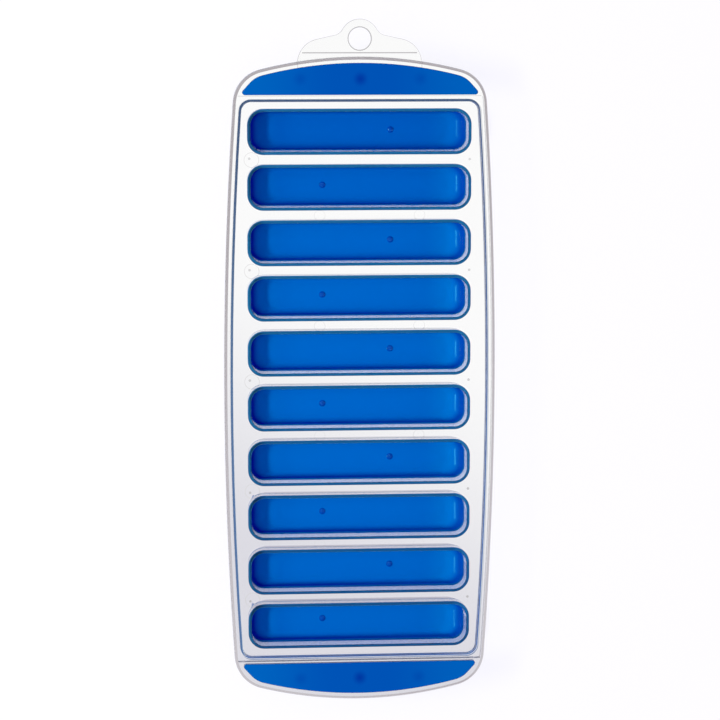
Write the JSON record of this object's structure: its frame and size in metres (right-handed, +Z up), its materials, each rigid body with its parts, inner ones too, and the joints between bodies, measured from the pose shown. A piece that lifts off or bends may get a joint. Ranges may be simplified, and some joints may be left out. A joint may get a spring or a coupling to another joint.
{
  "type": "ice cube tray",
  "caption": "Clear rigid ice tray with long narrow cavities side by side, soft push-out cups under its windows, soft end grips and a film hang tab.",
  "frame": {"origin": "on the surface that the tray stands on, under the middle of its overall length and width", "axes": "+X across the tray, along the cavities; +Y along the tray towards the hang tab; +Z up, out of the cavities"},
  "size_m": [0.1226, 0.3088, 0.022],
  "materials": {
    "frame_clear": "clear, polished",
    "cup_soft": "smooth, slightly glossy, a little translucent",
    "grip_soft": "smooth, satin",
    "tab_film": "clear film"
  },
  "bodies": {
    "root": {"frame": "frame_clear", "cup_01": "cup_soft", "cup_02": "cup_soft", "cup_03": "cup_soft", "cup_04": "cup_soft", "cup_05": "cup_soft", "cup_06": "cup_soft", "cup_07": "cup_soft", "cup_08": "cup_soft", "cup_09": "cup_soft", "cup_10": "cup_soft", "grip_tab_end": "grip_soft", "grip_far_end": "grip_soft", "hang_tab": "tab_film"}
  },
  "joints": []
}
